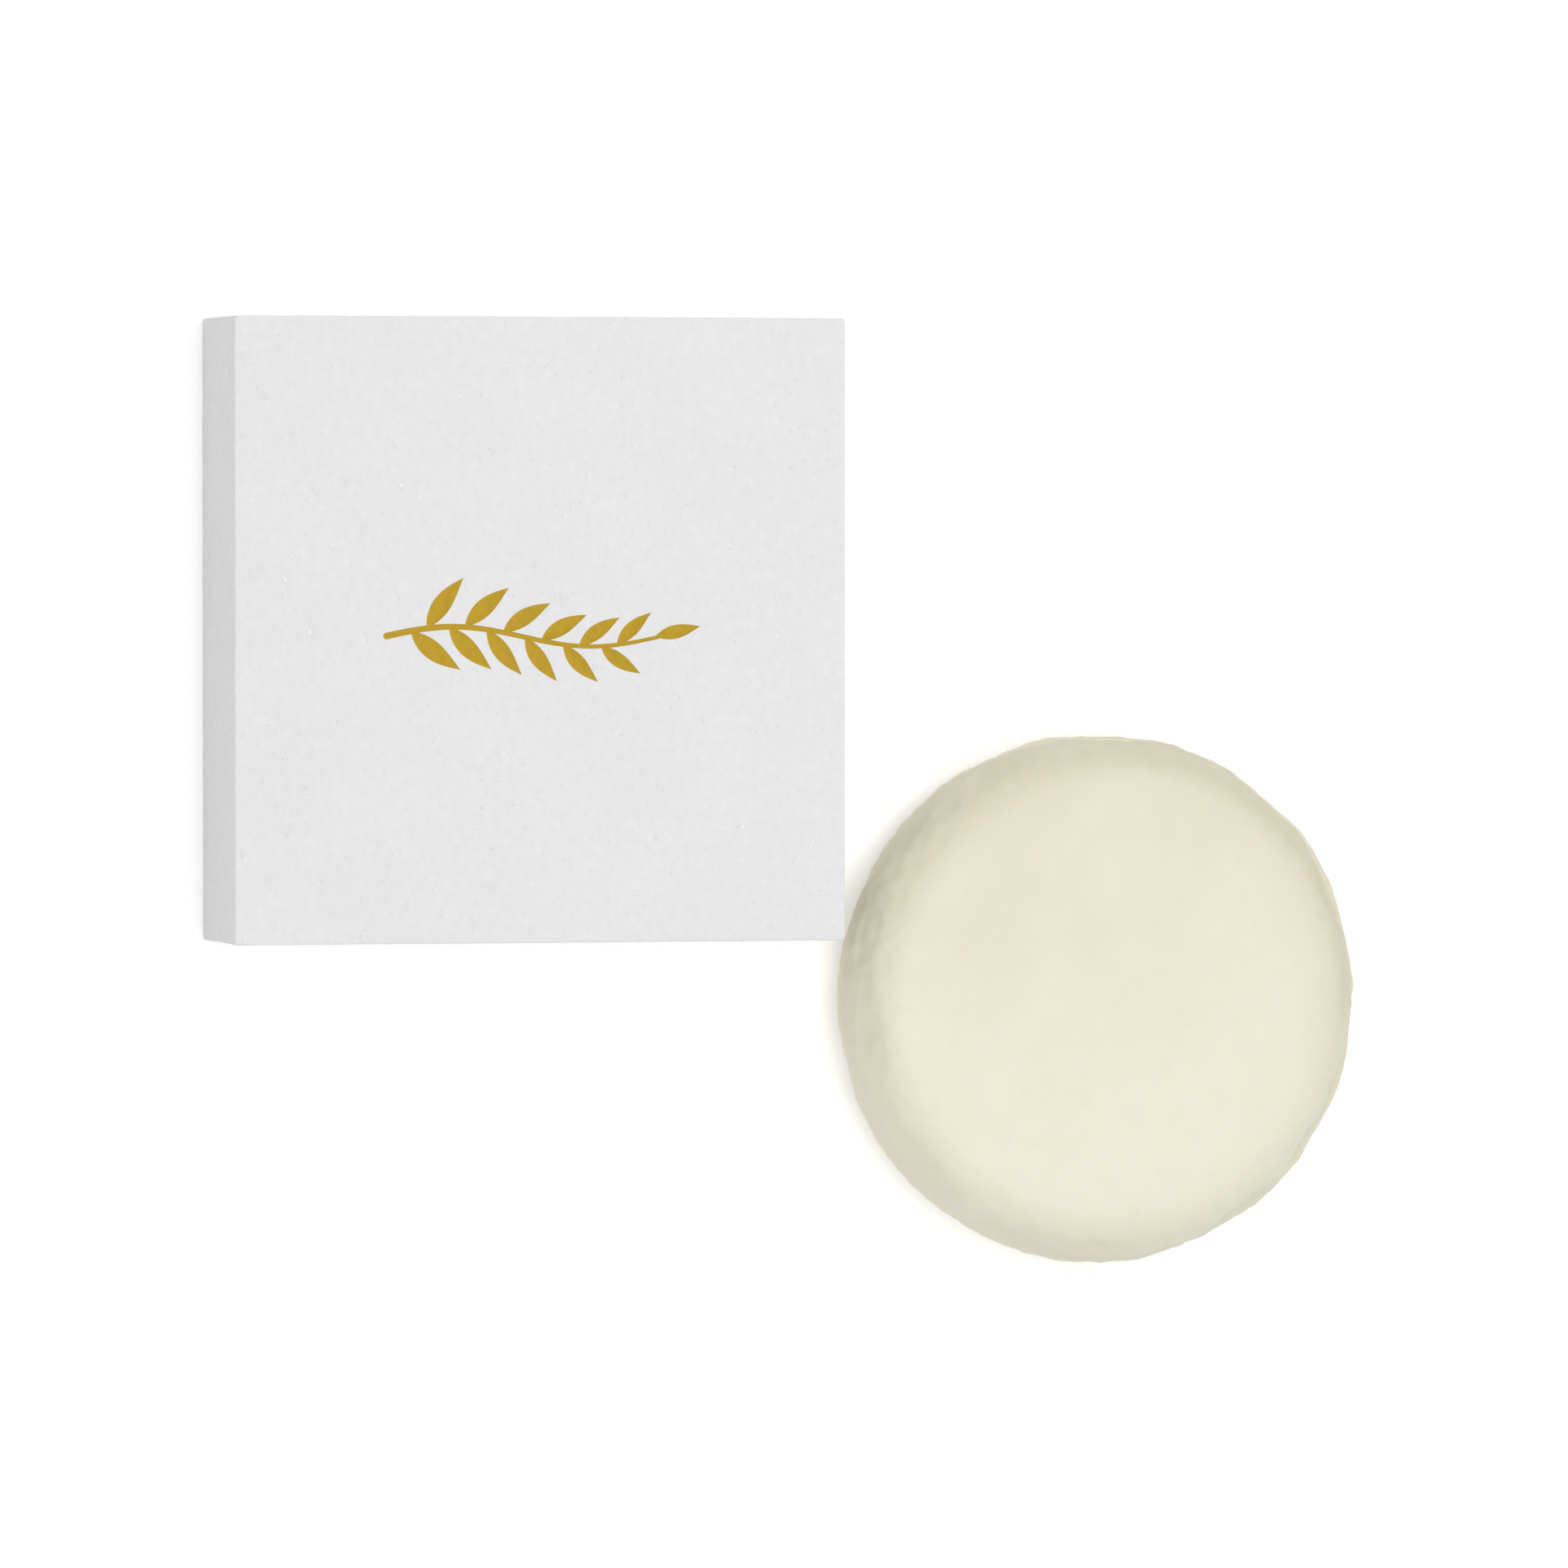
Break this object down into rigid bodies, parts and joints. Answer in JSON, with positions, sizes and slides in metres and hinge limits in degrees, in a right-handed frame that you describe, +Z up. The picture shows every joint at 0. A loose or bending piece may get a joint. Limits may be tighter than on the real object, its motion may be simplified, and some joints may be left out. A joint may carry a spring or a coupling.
{
  "type": "shaving soap puck",
  "caption": "Round ivory shaving soap puck with a softly worn edge, lying beside its square paper-wrapped rigid box with a lift-off lid and a gold foil sprig.",
  "frame": {"origin": "centre of the box's underside, on the surface that the box and the puck lie on", "axes": "+Z up out of the lid's face, +X towards the puck's side of the box (right), +Y towards the back of the box (the top of its face)"},
  "size_m": [0.1674, 0.1354, 0.0241],
  "materials": {
    "soap": "dense ivory soap with a soft sheen",
    "cotton_paper": "white felt-marked cotton paper, matte",
    "gold_foil": "satin gold foil",
    "greyboard": "solid recycled greyboard, matte",
    "gummed_paper": "brown gummed kraft paper",
    "lining_paper": "smooth white lining paper",
    "glassine": "smooth greaseproof glassine, satin"
  },
  "bodies": {
    "tray": {"tray_bottom_board": "greyboard", "tray_front_board": "greyboard", "tray_back_board": "greyboard", "tray_left_board": "greyboard", "tray_right_board": "greyboard", "tray_corner_stay_back_right": "gummed_paper", "tray_corner_stay_back_left": "gummed_paper", "tray_corner_stay_front_left": "gummed_paper", "tray_corner_stay_front_right": "gummed_paper", "tray_paper_wrap": "cotton_paper", "tray_base_sheet": "lining_paper", "tray_lining_sheet": "lining_paper", "glassine_liner": "glassine"},
    "lid": {"lid_top_board": "greyboard", "lid_front_board": "greyboard", "lid_back_board": "greyboard", "lid_left_board": "greyboard", "lid_right_board": "greyboard", "lid_corner_stay_back_right": "gummed_paper", "lid_corner_stay_back_left": "gummed_paper", "lid_corner_stay_front_left": "gummed_paper", "lid_corner_stay_front_right": "gummed_paper", "lid_lining_sheet": "lining_paper", "lid_paper_wrap": "cotton_paper", "lid_foil_sprig": "gold_foil"},
    "puck": {"soap_puck": "soap"}
  },
  "joints": [
    {"name": "lid_lift", "type": "slide", "parent": "tray", "child": "lid", "axis": [0, 0, 1], "range_m": [0, 0.06]},
    {"name": "puck_lift", "type": "slide", "parent": "tray", "child": "puck", "axis": [0, 0, 1], "range_m": [0, 0.045]}
  ]
}
